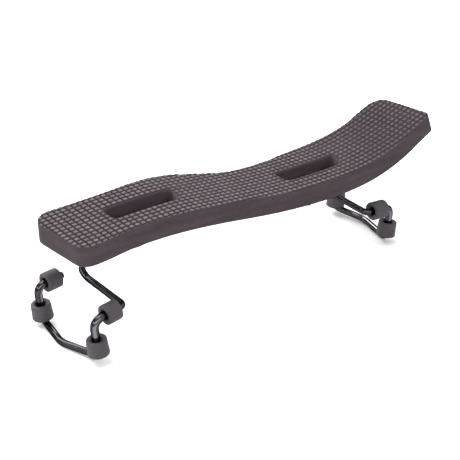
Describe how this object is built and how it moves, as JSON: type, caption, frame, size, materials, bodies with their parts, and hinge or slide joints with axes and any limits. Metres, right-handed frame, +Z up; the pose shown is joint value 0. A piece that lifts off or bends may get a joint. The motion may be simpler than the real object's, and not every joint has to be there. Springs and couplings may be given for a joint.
{
  "type": "violin shoulder rest",
  "caption": "Curved gridded rubber pad on a slotted plate, held up by bent-wire claws with rubber tubes that grip a violin's edge; each leg slides, swivels and changes height.",
  "frame": {"origin": "middle of the part's box, on the table that the claws' wires stand on", "axes": "+X along the pad towards its raised end, +Y across the pad, +Z up, away from the violin"},
  "size_m": [0.2184, 0.0564, 0.062],
  "materials": {
    "pad_rubber": "matt moulded foam rubber, raised squares paler on top",
    "aluminium": "satin sheet",
    "brass": "turned brass",
    "black_steel": "black oxide, satin",
    "black_wire": "glossy black nickel",
    "soft_rubber": "matt dark grey rubber tube"
  },
  "bodies": {
    "base": {"pad": "pad_rubber", "base_plate": "aluminium"},
    "left_carriage": {"left_slot_block": "brass"},
    "left_swivel": {"left_key_washer": "black_steel"},
    "left_height_nut": {"left_height_nut": "brass"},
    "left_lock_nut": {"left_lock_nut": "black_steel"},
    "left_leg": {"left_threaded_sleeve": "brass", "left_leg_wire": "black_wire", "left_near_upper_tube": "soft_rubber", "left_near_lower_tube": "soft_rubber", "left_far_upper_tube": "soft_rubber", "left_far_lower_tube": "soft_rubber"},
    "right_carriage": {"right_slot_block": "brass"},
    "right_swivel": {"right_key_washer": "black_steel"},
    "right_height_nut": {"right_height_nut": "brass"},
    "right_lock_nut": {"right_lock_nut": "black_steel"},
    "right_leg": {"right_threaded_sleeve": "brass", "right_leg_wire": "black_wire", "right_near_upper_tube": "soft_rubber", "right_near_lower_tube": "soft_rubber", "right_far_upper_tube": "soft_rubber", "right_far_lower_tube": "soft_rubber"}
  },
  "joints": [
    {"name": "left_slide", "type": "slide", "parent": "base", "child": "left_carriage", "axis": [-1, 0, 0], "range_m": [-0.01, 0.01]},
    {"name": "left_swivel_turn", "type": "hinge", "parent": "left_carriage", "child": "left_swivel", "pos_m": [-0.05636, 0.0054, 0.04071], "axis": [0, 0, 1], "range_deg": [-30, 30]},
    {"name": "left_leg_height", "type": "slide", "parent": "left_swivel", "child": "left_leg", "axis": [0, 0, 1], "range_m": [-0.0035, 0.0012]},
    {"name": "left_height_nut_turn", "type": "hinge", "parent": "left_swivel", "child": "left_height_nut", "pos_m": [-0.05636, 0.0054, 0.04071], "axis": [0, 0, 1], "range_deg": [-541, 1576]},
    {"name": "left_lock_nut_turn", "type": "hinge", "parent": "left_swivel", "child": "left_lock_nut", "pos_m": [-0.05636, 0.0054, 0.04071], "axis": [0, 0, 1], "range_deg": [-541, 1576]},
    {"name": "right_slide", "type": "slide", "parent": "base", "child": "right_carriage", "axis": [1, 0, 0], "range_m": [-0.01, 0.01]},
    {"name": "right_swivel_turn", "type": "hinge", "parent": "right_carriage", "child": "right_swivel", "pos_m": [0.03585, -0.0018, 0.03496], "axis": [0, 0, 1], "range_deg": [-30, 30]},
    {"name": "right_leg_height", "type": "slide", "parent": "right_swivel", "child": "right_leg", "axis": [0, 0, 1], "range_m": [-0.0035, 0.0012]},
    {"name": "right_height_nut_turn", "type": "hinge", "parent": "right_swivel", "child": "right_height_nut", "pos_m": [0.03585, -0.0018, 0.03496], "axis": [0, 0, 1], "range_deg": [-541, 1576]},
    {"name": "right_lock_nut_turn", "type": "hinge", "parent": "right_swivel", "child": "right_lock_nut", "pos_m": [0.03585, -0.0018, 0.03496], "axis": [0, 0, 1], "range_deg": [-541, 1576]}
  ],
  "couplings": [
    {"joint": "left_height_nut_turn", "follows": "left_leg_height", "rad_per_m": -7854},
    {"joint": "left_lock_nut_turn", "follows": "left_leg_height", "rad_per_m": -7854},
    {"joint": "right_height_nut_turn", "follows": "right_leg_height", "rad_per_m": -7854},
    {"joint": "right_lock_nut_turn", "follows": "right_leg_height", "rad_per_m": -7854}
  ]
}
